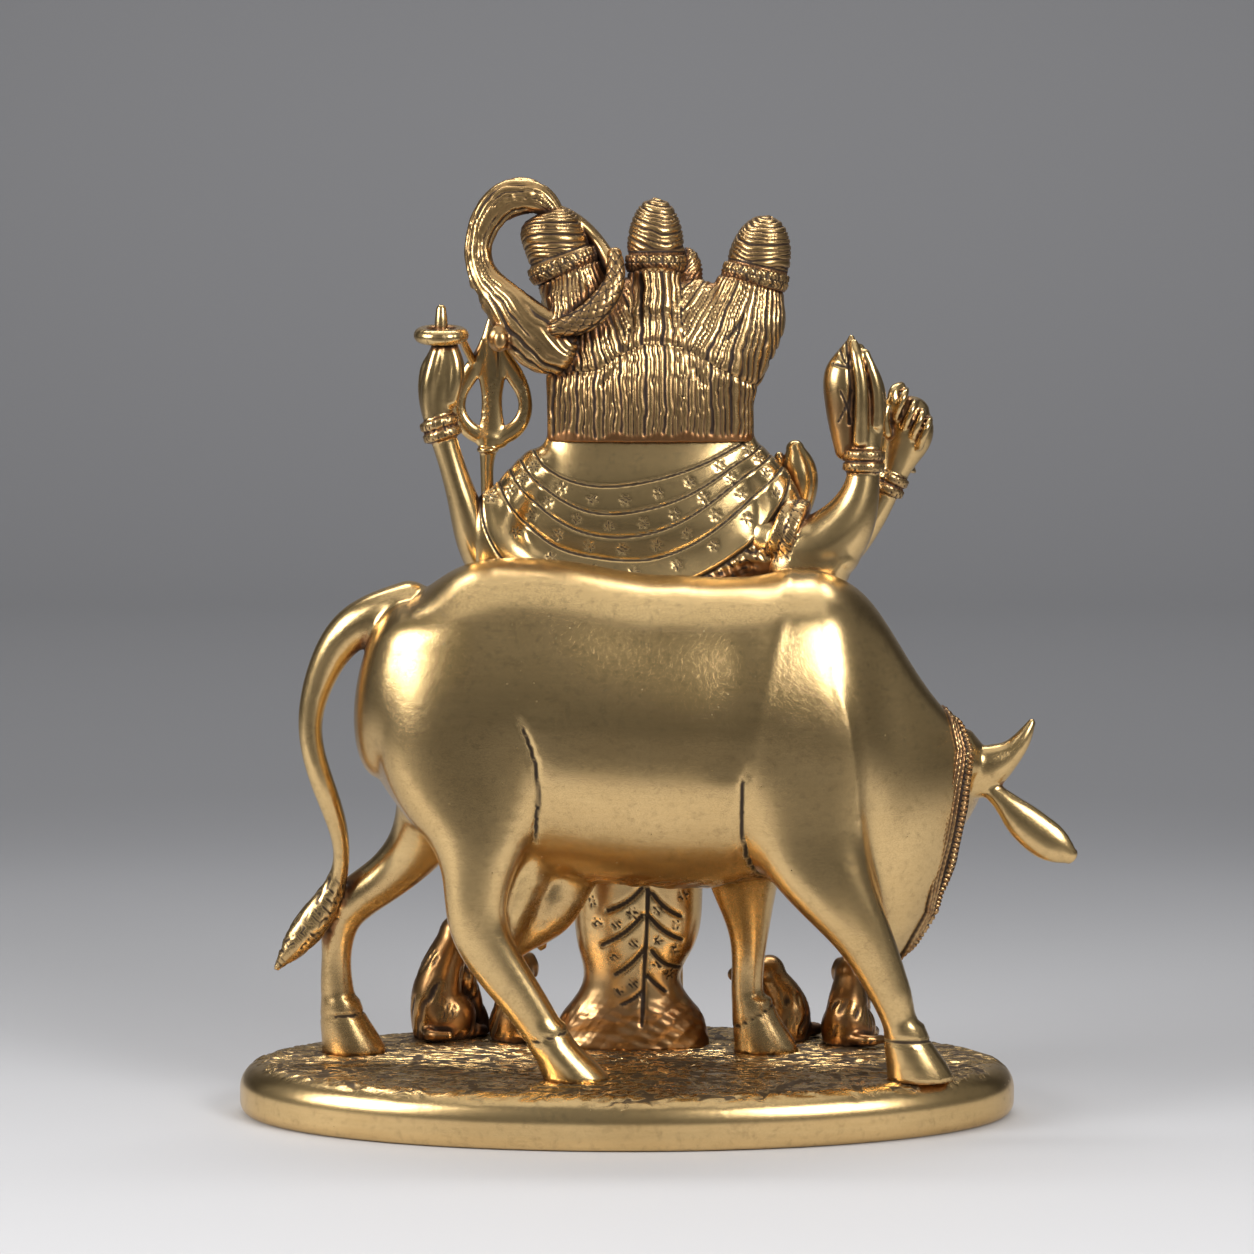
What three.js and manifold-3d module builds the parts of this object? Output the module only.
// Cast brass statue: a three-headed, six-armed figure stands against a grazing cow, with four small
// dogs, on an oval plinth. Millimetres, +Z up, origin at the centre of the plinth's underside.
// +X runs along the cow towards its head, and +Y is the way the figure faces.
import * as THREE from "three";
import { mergeVertices } from "three/addons/utils/BufferGeometryUtils.js";
import Module from "manifold-3d";

const wasm = await Module();
wasm.setup();

// Driving dimensions.
const PLINTH = { halfLength: 141, halfDepth: 74.5, height: 19, sides: 40 };
const PLINTH_ROUND = { topIn: 9, topHigh: 10, footIn: 3.5, footHigh: 5 };
const GAP = 0.35; // between two castings that meet
const FLOOR = PLINTH.height + GAP; // level of the hooves, feet and paws
const COW_Y = -12; // the cow's middle plane
const LEG_Y = { near: -38, farHind: 14, farFore: 16 };
const HEADS = [
  { at: [-18.6, 34, 294.6], tilt: -0.372, facing: -0.7, coil: { r: 11.6, power: 6, h: 17.5 }, half: 12 },
  { at: [10.5, 36, 294.6], tilt: 0, facing: 0, coil: { r: 10.6, power: 2.2, h: 20.3 }, half: 9.9 },
  { at: [44, 35, 290.1], tilt: 0.235, facing: 0.7, coil: { r: 11.6, power: 2.2, h: 19.2 }, half: 11.2 },
];
const DOGS = {
  dog_tail_side_outer: { x: -66, y: 47, facing: 1.0, tall: 64 },
  dog_tail_side_inner: { x: -41, y: 43, facing: 0.1, tall: 50 },
  dog_head_side_inner: { x: 55, y: 42, facing: -1.2, tall: 48 },
  dog_head_side_outer: { x: 83, y: 36, facing: 0.2, tall: 49 },
};
const BRASS = { color: 0xb8923f, metalness: 1, roughness: 0.32 };

const NECK_SLANT = new THREE.Vector3(0.2, 0, 0.98); // the line of the collar, seen from the side
const UP = new THREE.Vector3(0, 0, 1);
const DEPTH = new THREE.Vector3(0, 1, 0);
const SIDE = new THREE.Vector3(1, 0, 0);
const vec = (p) => new THREE.Vector3(p[0], p[1], p[2]);

/** One closed surface over a stack of equal rings, with a point closing each end. */
function skin(rings, first, last) {
  const n = rings[0].length;
  const points = [first, ...rings.flat(), last];
  const tip = points.length - 1;
  const index = [];
  for (let i = 0; i < n; i++) {
    const j = (i + 1) % n;
    index.push(0, 1 + j, 1 + i);
    index.push(tip, tip - n + i, tip - n + j);
    for (let k = 0; k < rings.length - 1; k++) {
      const a = 1 + k * n;
      const b = a + n;
      index.push(a + i, a + j, b + j, a + i, b + j, b + i);
    }
  }
  const geometry = new THREE.BufferGeometry().setFromPoints(points);
  geometry.setIndex(index);
  return geometry;
}

/** A ring of an ellipse round a centre, in the plane of two unit vectors. */
function ring(centre, across, a, deep, b, sides) {
  return Array.from({ length: sides }, (_, i) => {
    const angle = (2 * Math.PI * i) / sides;
    return centre
      .clone()
      .addScaledVector(across, a * Math.cos(angle))
      .addScaledVector(deep, b * Math.sin(angle));
  });
}

/**
 * A round-ended limb along a smooth path. A station is x, y, z, the half width across the path and
 * the half width along the depth axis. The rounding at each end is given as a length, and the
 * sections stand square to the path unless they are given a direction of their own.
 */
function limb(stations, options = {}) {
  const { sides = 8, steps = 1, depth = DEPTH, slant = null, ends = null, grow = 0 } = options;
  const path = new THREE.CatmullRomCurve3(stations.map(vec), false, "centripetal");
  const halves = stations.map((s) => vec([s[3], s[4], 0]));
  const sizes = new THREE.CatmullRomCurve3(halves, false, "catmullrom", 0.5);
  const count = (stations.length - 1) * steps;
  const rings = [];
  const dome = (t, length, angles) => {
    const centre = path.getPoint(t);
    const out = path.getTangent(t).multiplyScalar(t ? 1 : -1);
    return angles.map((angle) => {
      return section(t, centre.clone().addScaledVector(out, length * Math.sin(angle)), Math.cos(angle));
    });
  };
  const section = (t, centre, scale) => {
    const along = path.getTangent(t);
    const deep = depth.clone().addScaledVector(along, -depth.dot(along)).normalize();
    const across = slant ?? along.clone().cross(deep);
    const size = sizes.getPoint(t);
    return ring(centre, across, (size.x + grow) * scale, deep, (size.y + grow) * scale, sides);
  };
  const round = { fine: [Math.PI / 3, Math.PI / 6], plain: [Math.PI / 4], small: [] };
  const turns = round[sides > 9 ? "fine" : sides > 5 ? "plain" : "small"];
  const reach = [stations[0], stations.at(-1)].map((s, i) => {
    return (ends ? ends[i] : Math.min(s[3], s[4])) + grow;
  });
  rings.push(...dome(0, reach[0], turns));
  for (let k = 0; k <= count; k++) rings.push(section(k / count, path.getPoint(k / count), 1));
  rings.push(...dome(1, reach[1], turns.toReversed()));
  const first = path.getPoint(0).addScaledVector(path.getTangent(0), -reach[0]);
  const last = path.getPoint(1).addScaledVector(path.getTangent(1), reach[1]);
  return skin(rings, first, last);
}

/** A flat-ended stack of level ellipses: each row is x, y, z, half width and half depth. */
function stack(rows, { sides = 12, grow = 0 } = {}) {
  const across = new THREE.Vector3(1, 0, 0);
  const rings = rows.map((r) => ring(vec(r), across, r[3] + grow, DEPTH, r[4] + grow, sides));
  return skin(rings, vec(rows[0]), vec(rows.at(-1)));
}

/** A turned form about an axis from one point, its profile given as radius and height pairs. */
function turned(at, axis, profile, sides = 10) {
  const points = profile.map(([r, h]) => new THREE.Vector2(r, h));
  const geometry = new THREE.LatheGeometry(points, sides);
  const turn = new THREE.Quaternion().setFromUnitVectors(new THREE.Vector3(0, 1, 0), vec(axis).normalize());
  return geometry.applyQuaternion(turn).translate(at[0], at[1], at[2]);
}

function ball(at, radii, sides = 8) {
  const geometry = new THREE.SphereGeometry(1, sides, Math.round(sides * 0.7));
  return geometry.scale(radii[0], radii[1], radii[2]).translate(at[0], at[1], at[2]);
}

/** A closed cord of round stock through points. */
function closedCord(points, radius) {
  return new THREE.TubeGeometry(new THREE.CatmullRomCurve3(points, true), points.length, radius, 4, true);
}

/** A ring of round or oval stock about an axis. */
function hoop(at, axis, radii, stock, sides = 18, stockSides = 5) {
  const geometry = new THREE.TorusGeometry(1, stock / radii[0], stockSides, sides);
  const turn = new THREE.Quaternion().setFromUnitVectors(UP, vec(axis).normalize());
  return geometry
    .scale(radii[0], radii[1], radii[0])
    .applyQuaternion(turn)
    .translate(at[0], at[1], at[2]);
}

/** A closed geometry as a solid, turned to face out. */
function solid(geometry) {
  const bare = geometry.clone();
  for (const name of ["normal", "uv"]) bare.deleteAttribute(name);
  const merged = mergeVertices(bare, 1e-3);
  const build = (triVerts) =>
    new wasm.Manifold(
      new wasm.Mesh({ numProp: 3, vertProperties: merged.attributes.position.array, triVerts }),
    );
  const index = new Uint32Array(merged.index.array);
  const made = build(index);
  if (made.volume() > 0) return made;
  return build(new Uint32Array(index.toReversed()));
}

const join = (geometries) => geometries.map(solid).reduce((sum, next) => sum.add(next));

/** The space under the plinth's top, which trims everything that stands on it. */
const ground = solid(new THREE.BoxGeometry(400, 400, 60).translate(0, 0, FLOOR - 30));

/** The rounded oval plinth. */
function plinth() {
  const { halfLength, halfDepth, height, sides } = PLINTH;
  const { topIn, topHigh, footIn, footHigh } = PLINTH_ROUND;
  const rows = [];
  for (const turn of [0, 45, 90]) {
    const angle = THREE.MathUtils.degToRad(turn);
    rows.push([footIn * (1 - Math.sin(angle)), footHigh * (1 - Math.cos(angle))]);
  }
  for (const turn of [0, 30, 60, 90]) {
    const angle = THREE.MathUtils.degToRad(turn);
    rows.push([topIn * (1 - Math.cos(angle)), height - topHigh * (1 - Math.sin(angle))]);
  }
  return solid(
    stack(rows.map(([inset, z]) => [0, 0, z, halfLength - inset, halfDepth - inset]), { sides }),
  );
}

/** A hoof under a pastern, splayed forwards, with a flat sole. */
function hoof(x, y, reach, grow) {
  return stack(
    [
      [x, y, 38, 7, 6.6],
      [x + reach * 0.12, y, 33, 8.4, 7.4],
      [x + reach * 0.5, y, 26, 10.4, 8.6],
      [x + reach, y, FLOOR - 4, 13.2, 9.6],
    ],
    { sides: 8, grow },
  );
}

/** The cow's head, built upright with its face towards +Y, then turned to look down past the figure. */
function cowHead(grow) {
  const face = [
    [0, -3, 4, 11, 9],
    [0, 0, -10, 14, 12.5],
    [0, 2, -24, 13.5, 13],
    [0, 3, -42, 9.6, 10],
    [0, 4, -63, 10.4, 9.4],
  ];
  const farHorn = [
    [-9, -1, 0, 8, 6],
    [-13, 0, 6, 7, 5.5],
    [-18, 2, 12, 4.4, 4.4],
    [-20, 3, 20, 1.2, 1.2],
  ];
  const farEar = [
    [-10, 4, -6, 3, 3],
    [-17, 13, -10, 5, 3.4],
    [-20, 23, -17, 5.6, 3],
    [-21, 32, -26, 2.6, 2],
  ];
  const nearHorn = [
    [125, -3, 123, 8.4, 6],
    [132, -4, 127.5, 7.8, 6],
    [138.5, -4.5, 132, 4.8, 4.6],
    [143, -5, 137.5, 3.1, 3.1],
    [146, -5, 143, 1.4, 1.4],
  ];
  const nearEar = [
    [128, -3, 121, 3.4, 3.6],
    [142, -8, 108.5, 6.4, 3.8],
    [149, -9, 102.5, 7.2, 3.8],
    [155.5, -10, 98, 6, 3.2],
    [160, -10, 95.2, 3.2, 2.2],
  ];
  const eye = (s) => ball([s * 11.6, 8.5, -21], [3.6 + grow, 3.4 + grow, 4.4 + grow], 6);
  const turnedDown = [
    limb(face, { sides: 8, ends: [6, 6], grow }),
    limb(farHorn, { sides: 5, grow }),
    limb(farEar, { sides: 5, grow }),
    eye(1),
    eye(-1),
  ];
  const down = vec([-0.34, 0.4, -0.85]).normalize();
  const lateral = vec([0.93, 0.2, -0.3]);
  lateral.addScaledVector(down, -lateral.dot(down)).normalize();
  const forehead = lateral.clone().cross(down);
  const basis = new THREE.Matrix4().makeBasis(lateral, forehead, down.clone().negate());
  basis.setPosition(119, 0, 129);
  return [
    ...turnedDown.map((part) => part.applyMatrix4(basis)),
    limb(nearHorn, { sides: 6, grow }),
    limb(nearEar, { sides: 6, grow }),
  ];
}

/** The cow's barrel, rump, shoulders and neck. */
function cowTrunk(grow) {
  const barrel = [
    [-83, COW_Y, 156, 33, 21],
    [-72, COW_Y, 154, 44, 29],
    [-54, COW_Y, 151, 52.5, 34.5],
    [-30, COW_Y, 146.5, 56, 37],
    [0, COW_Y, 141.5, 56, 38],
    [28, COW_Y, 141, 56, 37.5],
    [54, COW_Y, 146.5, 51, 34],
    [74, COW_Y, 151, 45.5, 28],
  ];
  const neck = [
    [50, COW_Y, 147, 50, 32],
    [69, COW_Y, 138, 56, 29.5],
    [80, COW_Y, 126, 57, 26.5],
    [95, COW_Y + 1, 110, 51, 22],
    [106, COW_Y + 4, 102, 46, 18],
    [116, COW_Y + 8, 104, 36, 13],
  ];
  return [
    limb(barrel, { sides: 14, ends: [14, 12], grow }),
    limb(neck, { sides: 12, slant: NECK_SLANT, ends: [8, 4], grow }),
  ];
}

/** The four legs on their hooves. */
function cowLegs(grow) {
  const { near, farHind, farFore } = LEG_Y;
  const nearHind = [
    [-64, -23, 168, 26, 19],
    [-60, -28, 135, 27, 19],
    [-53, -34.5, 108, 19.5, 14.5],
    [-53, -37, 92, 12.8, 11],
    [-53, near, 76, 10.4, 9],
    [-43, near, 56, 8.8, 7.4],
    [-34, near, 43, 7.6, 6.6],
    [-28.5, near, 34, 7.2, 6.4],
  ];
  const nearFore = [
    [60, -22, 170, 22, 17],
    [63, -29, 136, 22.5, 17],
    [65, -34, 104, 19.5, 13],
    [72, -37, 88, 14.5, 10.5],
    [82.5, near, 71, 9.8, 8.4],
    [90, near, 56, 7.4, 7],
    [95.5, near, 43, 6.2, 6.4],
    [99, near, 34, 6.2, 6.2],
  ];
  const farHindLeg = [
    [-66, 0, 118, 18, 15],
    [-77, 9, 96, 11, 9.5],
    [-91, 13, 82, 8.6, 8],
    [-103.5, farHind, 71, 7.8, 7.4],
    [-106.5, farHind, 57, 5.6, 5.5],
    [-106.5, farHind, 43, 6, 5.6],
    [-105, farHind, 33, 6.4, 6],
  ];
  const farForeLeg = [
    [42, 2, 104, 17, 14],
    [43, 11, 82, 12.4, 10],
    [44.6, 15, 64, 7.6, 7],
    [44.4, farFore, 50, 5.9, 5.6],
    [44.6, farFore, 38, 6, 6],
    [46.5, farFore, 30, 6.2, 6.2],
  ];
  return [
    ...[nearHind, nearFore, farHindLeg, farForeLeg].map((rows) => limb(rows, { sides: 7, grow })),
    hoof(-28.5, near, 13, grow),
    hoof(98.8, near, 7, grow),
    hoof(-105, farHind, 6, grow),
    hoof(46.5, farFore, 6, grow),
  ];
}

/** The tail, joined to the far hind leg at the hock, and its tuft. */
function cowTail(grow) {
  const rows = [
    [-78, -8, 183.5, 11, 10],
    [-98.2, -9, 177.2, 7.9, 7.4],
    [-110, -8, 160, 5.6, 5.6],
    [-114, -8, 141.5, 4.3, 4.6],
    [-109.5, -6, 120, 4.2, 4.4],
    [-104.6, -1, 103, 3.4, 4],
    [-104.6, 4, 88, 3.2, 4],
    [-111, 5, 74, 5.6, 5],
    [-119, 3, 63, 5.6, 5],
    [-127.5, 1, 52.5, 1.6, 1.8],
  ];
  return limb(rows, { sides: 6, grow });
}

/** The udder, a broad mass that runs into the near hind leg, with its teats. */
function udder(grow) {
  const bag = [
    [-22, -8, 101, 15, 14],
    [-25, -9, 88, 13.5, 13],
    [-31, -11, 77, 12.5, 12.5],
    [-39, -15, 69, 9.5, 10],
    [-45, -20, 60, 5, 6],
  ];
  const flank = [
    [-38, -20, 100, 13, 12],
    [-41, -22, 84, 10.5, 11],
    [-45, -25, 70, 7, 8],
  ];
  const teat = (x) => [
    [x, -5, 70, 3, 3],
    [x + 1, -4, 61.5, 1.9, 1.9],
  ];
  return [
    limb(bag, { sides: 8, grow }),
    limb(flank, { sides: 7, grow }),
    limb(teat(-38), { sides: 5, grow }),
    limb(teat(-32), { sides: 5, grow }),
  ];
}

/** The collar round the neck. */
function collar(grow) {
  const count = 20;
  const points = Array.from({ length: count }, (_, i) => {
    const turn = (2 * Math.PI * i) / count;
    const centre = new THREE.Vector3(110, -9, 102);
    const belly = new THREE.Vector3(12, -14, 3).multiplyScalar(Math.cos(turn));
    return centre.add(belly).addScaledVector(NECK_SLANT, 45 * Math.sin(turn));
  });
  return closedCord(points, 2.4 + grow);
}

/** The cow, or a block a little larger than it, for cutting its seat in the figure. */
function cow(grow = 0) {
  return join([
    ...cowTrunk(grow),
    ...cowLegs(grow),
    cowTail(grow),
    ...udder(grow),
    collar(grow),
    ...cowHead(grow),
  ]).subtract(ground);
}

/** Fingers side by side: each starts a pitch further along than the last and follows its joints. */
function fingers(first, pitch, joints, radius = 2, count = 4) {
  return Array.from({ length: count }, (_, i) => {
    const root = vec(first).addScaledVector(vec(pitch), i);
    const at = [[0, 0, 0], ...joints].map((joint) => root.clone().add(vec(joint)).toArray());
    return limb(at.map((place) => [...place, radius, radius]), { sides: 4 });
  });
}

/** An arm through its joints, with a bracelet round its wrist. */
function arm(rows, at, axis, radius) {
  const profile = [
    [0, -4.2],
    [radius, -3.2],
    [radius, 3.2],
    [0, 4.2],
  ];
  return [limb(rows, { sides: 6 }), turned(at, axis, profile, 8)];
}

/** A head with its beaded band and its coil of piled hair, along a tilted axis, facing a way. */
function head({ at, tilt, facing, coil, half }) {
  const axis = vec([tilt, 0, 1]).normalize();
  const front = vec([Math.sin(facing), Math.cos(facing), 0]);
  front.addScaledVector(axis, -front.dot(axis)).normalize();
  const along = (h, forward, ...size) => [
    ...vec(at).addScaledVector(axis, h).addScaledVector(front, forward).toArray(),
    ...size,
  ];
  const skull = [
    along(-17, 3.6, 5.2, 5.4),
    along(-10, 2.4, 9.6, 10.6),
    along(0, 0, half, 13.6),
    along(9, -1, half, 13),
  ];
  const neck = [along(-14, 0, 7.2, 7.6), along(-26, -2.5, 8, 8)];
  const nose = [along(2.6, 12.6, 1.3, 1.4), along(-4.8, 15.2, 1.9, 1.9)];
  const band = [
    [0, -1.5],
    [half + 1.2, -0.6],
    [half + 1.4, 6.6],
    [0, 7.8],
  ];
  const swell = [0, 0.4, 0.75, 0.93].map((share) => {
    return [coil.r * Math.sqrt(1 - share ** coil.power), 7.4 + coil.h * share];
  });
  const top = along(10, 0);
  return [
    limb(skull, { sides: 8, depth: front, ends: [3, 6] }),
    limb(neck, { sides: 6, depth: front }),
    limb(nose, { sides: 5 }),
    turned(top, axis.toArray(), band, 10),
    turned(top, axis.toArray(), [[0, 5], ...swell, [0, 7.4 + coil.h]], 9),
  ];
}

/** The hair of the three heads, one mass down the back, cut level at the shoulders. */
function hair() {
  const curtain = [
    [8.6, 25.5, 243.6, 37.8, 13],
    [8.8, 26, 262, 38.4, 13.2],
    [10.5, 27, 272, 40.5, 13],
    [13, 28, 282, 40, 11.5],
    [13, 30, 291, 34, 9],
    [12, 32, 300, 20, 7],
  ];
  const flows = [
    [
      [-18.2, 36, 298, 12, 11],
      [-14.5, 32, 289, 13, 11.5],
      [-5, 27, 266, 13, 11.5],
    ],
    [
      [10.5, 35, 301, 10.6, 11],
      [10.5, 30, 286, 12, 12],
      [10, 27, 268, 12, 11.5],
    ],
    [
      [44, 35, 299, 13, 12],
      [43.4, 31.5, 289, 15, 12],
      [34, 27, 267, 14.5, 12],
    ],
  ];
  return [stack(curtain, { sides: 14 }), ...flows.map((rows) => limb(rows, { sides: 7 }))];
}

/** The stream that springs from the left head's coil and falls round beside the face, with its scarf. */
function stream() {
  const lock = [
    [-24.5, 33, 324.5, 3, 3.8],
    [-37.5, 32, 332.6, 6.8, 5],
    [-46.5, 31, 329.5, 6.8, 5],
    [-52.2, 30, 321.5, 5.8, 4.8],
    [-54.4, 29, 312.5, 5, 4.8],
    [-52.4, 27, 304, 5.6, 5.2],
    [-41.5, 20, 290.5, 9.4, 6.4],
    [-28.5, 16.5, 278, 11, 6],
    [-23.5, 16.5, 275, 8.2, 5.4],
  ];
  const strap = [
    [-27, 33, 328.6, 1.8, 2.6],
    [-20.5, 35, 325, 2.6, 4],
    [-11, 35, 316, 3, 4.6],
    [-5.6, 29, 307, 3.3, 4.4],
  ];
  const scarf = [
    [-4.5, 21, 311, 3, 3.6],
    [-4.4, 16.5, 302, 4.2, 3.8],
    [-9, 12.8, 293.5, 4.9, 3.6],
    [-25.5, 11, 284.5, 3.2, 2.8],
  ];
  return [
    limb(lock, { sides: 6 }),
    limb(strap, { sides: 5 }),
    limb(scarf, { sides: 6 }),
    ball([-46.4, 15.5, 281], [4.6, 4.6, 5.2], 6),
  ];
}

/** The trident's shaft and its three blades, two of them looped. */
function trident() {
  const { x, y, thin } = { x: -49.7, y: 35, thin: 1.9 };
  const loop = (s) => {
    const rows = [
      [0, 243.6, 3],
      [7.4, 246.4, 3.2],
      [11.9, 252.8, 2.7],
      [11.4, 261, 2.8],
      [7.6, 268.4, 3.4],
      [3.4, 279.6, 1],
    ];
    return limb(rows.map(([across, z, half]) => [x + s * across, y, z, half, thin]), { sides: 4 });
  };
  const blade = [
    [x, y, 242, 5.6, 2.4],
    [x, y, 260, 3.9, 2],
    [x, y, 270, 5.4, 2],
    [x - 0.4, y, 289, 1, 1],
  ];
  const shaft = [
    [x - 1.8, y, 196, 2.1, 2.1],
    [x - 1.8, y, 226, 2.4, 2.2],
    [x - 0.6, y, 244, 4.6, 2.7],
  ];
  return [loop(1), loop(-1), limb(blade, { sides: 4 }), limb(shaft, { sides: 5 })];
}

/** The two arms raised behind, with the disc and the shell, and the band round the upper arm. */
function rearArms() {
  const left = [
    [-46.5, 19, 193, 8.5, 11],
    [-53, 16.6, 203, 7.6, 10.2],
    [-59.2, 12.8, 221, 5.8, 7.4],
    [-66.2, 11, 244, 4.8, 5],
    [-68.6, 11, 254, 6, 5.6],
    [-68.2, 11, 263, 8.2, 6],
    [-66, 11, 277.5, 5.6, 4.4],
    [-66.2, 11, 282, 3.6, 3],
  ];
  const right = [
    [50, 22, 210, 11, 12],
    [60, 18.5, 206, 11.6, 12.6],
    [69, 15.8, 204.5, 12.8, 13],
    [76.5, 13.8, 209.5, 11.8, 11.4],
    [82.6, 12.6, 219, 8.8, 8.8],
    [85.6, 12, 229.5, 6.2, 6.4],
    [86.4, 12.4, 241, 5.8, 5.4],
    [88.2, 12, 256, 6.4, 5.6],
    [86.4, 11.5, 270, 4.4, 4.2],
    [84, 12, 277, 2.4, 2.6],
  ];
  const elbow = [
    [62, 16, 197, 12, 12],
    [72, 14.5, 197.5, 11, 12],
    [78, 13.5, 201, 6, 10],
  ];
  const shell = [
    [80.2, 15, 241, 4.8, 5],
    [78.8, 15, 260, 7.3, 7.6],
    [79.4, 15, 268, 7.7, 7.2],
    [81.4, 15, 281, 1.2, 1.2],
  ];
  const band = [
    [0, -5],
    [14, -4.4],
    [14, 4.4],
    [0, 5],
  ];
  return [
    ...arm(left, [-67.4, 11, 248.4], [-0.3, 0, 1], 7.3),
    hoop([-67.2, 11, 282.2], [0, -0.15, 1], [6.9, 6.9], 2.9, 10, 4),
    limb([[-67.2, 11, 279, 2.6, 2.6], [-67.2, 11, 291, 1.9, 1.9]], { sides: 6 }),
    ...arm(right, [86, 12, 236.6], [0.02, 0, 1], 7.7),
    limb(elbow, { sides: 6 }),
    limb(shell, { sides: 6 }),
    limb([[84.6, 8.6, 244, 2.9, 2.9], [84.4, 6.8, 264, 2.9, 2.9], [82, 11, 278, 2.4, 2.4]], { sides: 5 }),
    turned([58.4, 19, 209.5], [0.93, -0.15, -0.33], band, 10),
  ];
}

/** The two middle arms, with the trident and the drum. */
function middleArms() {
  const right = [
    [44, 32, 216, 10, 10],
    [62, 35, 203, 8, 8],
    [77, 36, 201, 7, 7],
    [86, 36, 209, 6, 6],
    [97.4, 35, 230, 5.6, 5.4],
    [103.6, 35, 247.5, 9.4, 7],
    [104, 35.5, 253.5, 7.4, 6],
  ];
  const leftUpper = [
    [-32, 33, 218, 10.5, 10.5],
    [-44, 41, 200, 8.6, 8.6],
    [-49.5, 46, 191.5, 7.4, 7.4],
  ];
  const leftFore = [
    [-49.5, 46, 191, 7, 7],
    [-51, 44, 202, 6, 6],
    [-51, 40, 212, 5.6, 5.2],
  ];
  const drum = [
    [0, -8.5],
    [6.4, -8.2],
    [2.2, 0],
    [6.4, 8.2],
    [0, 8.5],
  ];
  return [
    ...arm(right, [96.4, 35, 227.4], [0.45, 0, 1], 6.9),
    ...fingers([98.2, 29.8, 252], [2.93, 0, -3.5], [[3.2, -2.2, 7], [4.2, 7, 9]], 2),
    limb([[99, 31, 252, 2.6, 2.6], [97.8, 29, 258, 2.6, 2.6], [100.6, 33, 263, 2.4, 2.4]], { sides: 5 }),
    turned([103, 47, 240], [0.25, 0, 1], drum, 7),
    limb(leftUpper, { sides: 6 }),
    ...arm(leftFore, [-51.2, 43, 203], [0, -0.35, 1], 6.9),
    ...fingers([-55.5, 36, 205], [0, 0, 3.4], [[3.1, -4.4, 1], [8.9, 1, 1]], 1.8),
    ...trident(),
  ];
}

/** The two front arms, with the water pot, the mace and the bud. */
function frontArms() {
  const left = [
    [-27, 36, 215, 10, 10],
    [-36, 44, 192, 8.4, 8.4],
    [-38, 48, 178, 7.6, 7.6],
    [-32, 58, 172, 6, 6],
    [-25, 69, 169.6, 5.6, 5.6],
  ];
  const right = [
    [41, 36, 215, 10, 10],
    [51, 44, 194, 8.4, 8.4],
    [53, 48, 180, 7.6, 7.6],
    [50, 58, 180, 6, 6],
    [47.5, 66, 190, 5.8, 4.4],
  ];
  const pot = [
    [0, 0],
    [4, 0],
    [9.2, 7.5],
    [3.4, 18],
    [5.8, 22],
    [0, 22],
  ];
  const mace = [
    [44.6, 70, 166, 2, 2],
    [48, 67, 184, 2.2, 2.2],
    [54, 54, 210, 2.4, 2.4],
    [60, 42, 219, 2.8, 2.8],
  ];
  const bud = [
    [63.4, 37, 217, 4.4, 4.4],
    [64, 37, 225, 5.7, 5.4],
    [63.4, 37, 232, 5.8, 5.2],
    [61.9, 37, 240, 3.2, 3.2],
  ];
  return [
    ...arm(left, [-29, 62, 171.6], [0.6, 0.8, 0], 6.6),
    ...fingers([-28.6, 71, 172.5], [3.3, 0, 0], [[-0.2, 3, -2.5], [0.6, -1, -8.5]], 1.8),
    turned([-25, 69, 148], [0, 0, 1], pot, 7),
    ...arm(right, [49, 61, 181.6], [-0.3, 0.9, 0.4], 6.6),
    ...fingers([44.5, 70, 182], [0, 0, 3.4], [[3.5, 2, 1], [6.5, -5, 1.4]], 1.8),
    limb(mace, { sides: 5 }),
    limb(bud, { sides: 6 }),
    limb([[61, 38, 226, 2.2, 2.2], [56.2, 38.4, 237, 1.9, 1.9]], { sides: 5 }),
  ];
}

/** The back and shoulders under the shawl, and the shawl's folds, each a level U across the back. */
function shawl() {
  const back = [
    [7, 28, 180, 34, 18],
    [6.5, 27, 190, 40, 18.5],
    [5, 26, 202, 48, 18.5],
    [4.5, 25.5, 214, 51, 17.5],
    [5.5, 25.5, 226, 47.5, 15.5],
    [8, 25.5, 236, 42, 13.2],
    [8.6, 26, 243.2, 38.6, 11.6],
  ];
  const left = [
    [-33, 25, 232.5, 8, 11],
    [-41, 20.5, 223, 8.6, 12],
    [-46, 18, 211, 9, 12.5],
    [-47, 17.5, 196, 9, 12],
  ];
  const right = [
    [46, 25, 234, 8, 11],
    [53, 22.5, 225, 9, 11.5],
    [55, 20.5, 213, 10, 11.5],
    [50, 19, 201, 10, 10],
  ];
  const folds = [
    { left: [-34, 239], low: [0, 227.8], right: [44, 243] },
    { left: [-40, 235], low: [0, 218], right: [50, 241] },
    { left: [-45, 231], low: [0, 209], right: [54, 237] },
    { left: [-49, 226], low: [0, 201], right: [57, 231] },
  ];
  const quarter = (side, low) => {
    return [side[0] * 0.62 + low[0] * 0.38, 15.6, side[1] * 0.35 + low[1] * 0.65, 3.4, 4.2];
  };
  const across = ({ left: from, low, right: to }) => [
    [from[0], 26, from[1], 3, 4],
    quarter(from, low),
    [low[0], 11.2, low[1], 3.4, 4.2],
    quarter(to, low),
    [to[0], 26, to[1], 3, 4],
  ];
  return [
    stack(back, { sides: 14 }),
    limb(left, { sides: 6 }),
    limb(right, { sides: 6 }),
    ...folds.map((fold) => limb(across(fold), { sides: 4, steps: 2 })),
    ball([7, 40, 212], [27, 5, 9], 7),
  ];
}

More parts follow.
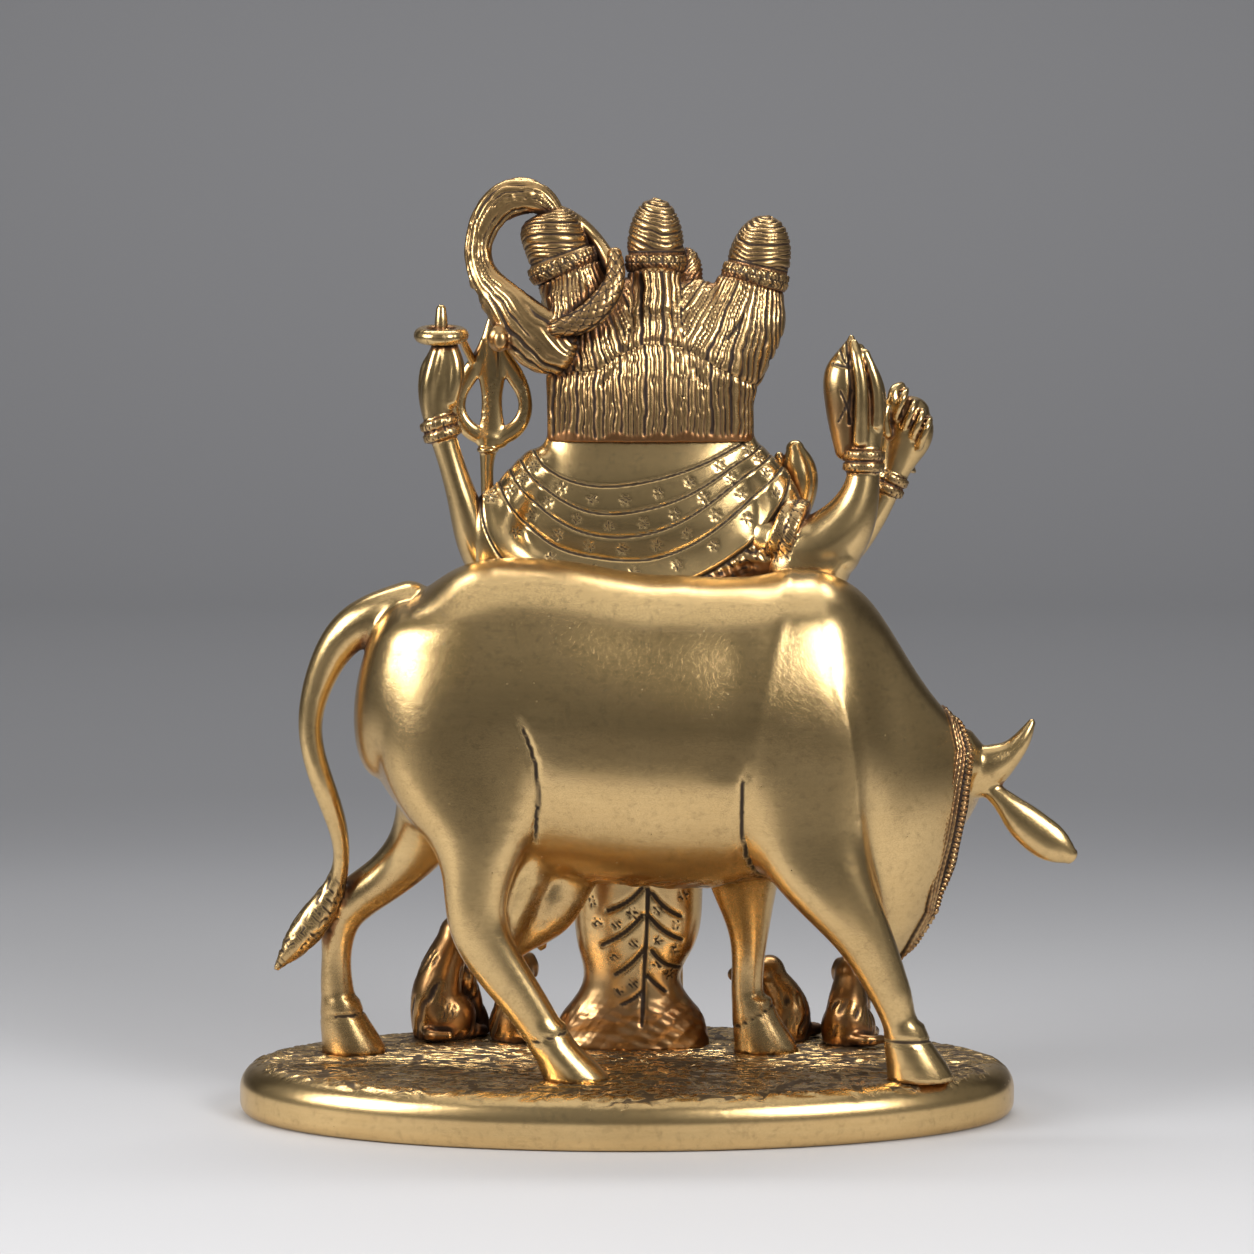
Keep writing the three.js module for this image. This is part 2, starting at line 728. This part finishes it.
/** The long pleated skirt, with the feet and the ends of the sash. */
function skirt() {
  const cloth = [
    [1.5, 31, FLOOR - 4, 29.5, 15.5],
    [1.5, 31, 22, 28.6, 15],
    [1.9, 31, 31, 25.5, 14.5],
    [1.8, 31, 38, 20.2, 13.5],
    [1.9, 31, 45, 18, 13],
    [3.2, 31, 55, 21.2, 13.6],
    [5, 30, 100, 25, 15],
    [7, 29.5, 156, 25, 14.5],
    [7, 29, 186, 31, 16.5],
  ];
  const belt = [
    [7, 29, 165, 29.4, 17],
    [7, 29, 170, 31.2, 18],
    [7, 29, 176, 30, 17],
  ];
  const pleats = [-9.2, 0, 9.2].map((at) => [
    [4 + at * 0.8, 42.5, 140, 2.4, 2.6],
    [4 + at, 44, 90, 2.8, 3.2],
    [4 + at * 1.06, 43.5, 36, 3, 3.6],
  ]);
  const foot = (s) => [
    [3 + s * 9, 42, 21.5, 5.6, 6],
    [3 + s * 10.5, 53, 22, 5.4, 4.4],
    [3 + s * 12, 61, 20.6, 4.8, 2.8],
  ];
  const sash = (s) => [
    [7 + s * 20, 38, 178, 3, 4],
    [7 + s * 21, 42, 140, 4, 4],
    [5 + s * 17, 44, 96, 3.4, 4],
    [4 + s * 15, 43, 56, 4, 3],
  ];
  const sides = [-1, 1];
  return [
    stack(cloth, { sides: 12 }),
    stack(belt, { sides: 12 }),
    ...pleats.map((rows) => limb(rows, { sides: 4 })),
    ...sides.map((s) => limb(foot(s), { sides: 6, depth: UP })),
    ...sides.map((s) => limb(sash(s), { sides: 4 })),
  ];
}

/** The figure, cut to sit against the cow's back. */
function figure(cowBlock) {
  return join([
    ...skirt(),
    ...shawl(),
    ...hair(),
    ...stream(),
    ...HEADS.flatMap(head),
    ...rearArms(),
    ...middleArms(),
    ...frontArms(),
  ])
    .subtract(cowBlock)
    .subtract(ground);
}

/** A small dog sitting up on its haunches at a place, facing a way, with its head at a height. */
function dog({ x, y, facing, tall }) {
  const high = (share) => PLINTH.height + (tall - PLINTH.height) * share;
  const fat = 0.5 + (0.5 * (tall - PLINTH.height)) / 45;
  const torso = [
    [0, -5, high(0.1), 10.5 * fat, 10.5 * fat],
    [0, -6, high(0.32), 10 * fat, 10 * fat],
    [0, -4, high(0.55), 8.4 * fat, 8.8 * fat],
    [0, 0.5, high(0.76), 6.8 * fat, 7.2 * fat],
    [0, 3, high(0.87), 5.8 * fat, 6.4 * fat],
  ];
  const snout = [
    [0, 2, high(0.87), 6, 6.2],
    [0, 15.5, high(0.8), 2.9, 2.8],
  ];
  const tail = [
    [3, -12, 22.5, 2.6, 2.4],
    [9, -14, 22, 2.2, 2.2],
    [14, -9, 22, 1.6, 1.6],
  ];
  const side = (s) => [
    ball([s * 6.5 * fat, -3, high(0.18)], [5.8 * fat, 9.5 * fat, 9.5 * fat], 5),
    limb([[s * 7.5, 2, 22, 3.2, 3], [s * 7.5, 9, 21.5, 2.6, 2.4]], { sides: 4, depth: UP }),
    limb([[s * 3.8, 4, high(0.5), 3.8, 3.6], [s * 4, 12, 21.6, 2.9, 2.6]], { sides: 4 }),
    limb([[s * 4.2, 3, high(0.95), 2.4, 2.6], [s * 5.8, 4.6, high(0.76), 1.4, 1.6]], { sides: 4 }),
  ];
  const parts = [
    limb(torso, { sides: 7, depth: SIDE }),
    limb(snout, { sides: 6, depth: UP }),
    limb(tail, { sides: 4, depth: UP }),
    ...side(-1),
    ...side(1),
  ];
  return join(parts.map((part) => part.rotateZ(-facing).translate(x, y, 0))).subtract(ground);
}

/** A solid's main body, free of the slivers that joining leaves, as a named mesh in its own brass. */
function mesh(name, joined) {
  const main = joined.decompose().reduce((most, next) => (next.volume() > most.volume() ? next : most));
  const { numProp, vertProperties, triVerts } = main.getMesh();
  const positions = new Float32Array((vertProperties.length / numProp) * 3);
  for (let i = 0; i * numProp < vertProperties.length; i++)
    positions.set(vertProperties.subarray(i * numProp, i * numProp + 3), i * 3);
  const geometry = new THREE.BufferGeometry()
    .setAttribute("position", new THREE.BufferAttribute(positions, 3))
    .setIndex(new THREE.BufferAttribute(triVerts, 1));
  const made = new THREE.Mesh(geometry, new THREE.MeshStandardMaterial(BRASS));
  made.name = name;
  return made;
}

const statue = new THREE.Group();
statue.add(mesh("plinth", plinth()), mesh("cow", cow()), mesh("figure", figure(cow(GAP))));
for (const [name, place] of Object.entries(DOGS)) statue.add(mesh(name, dog(place)));
export default statue;
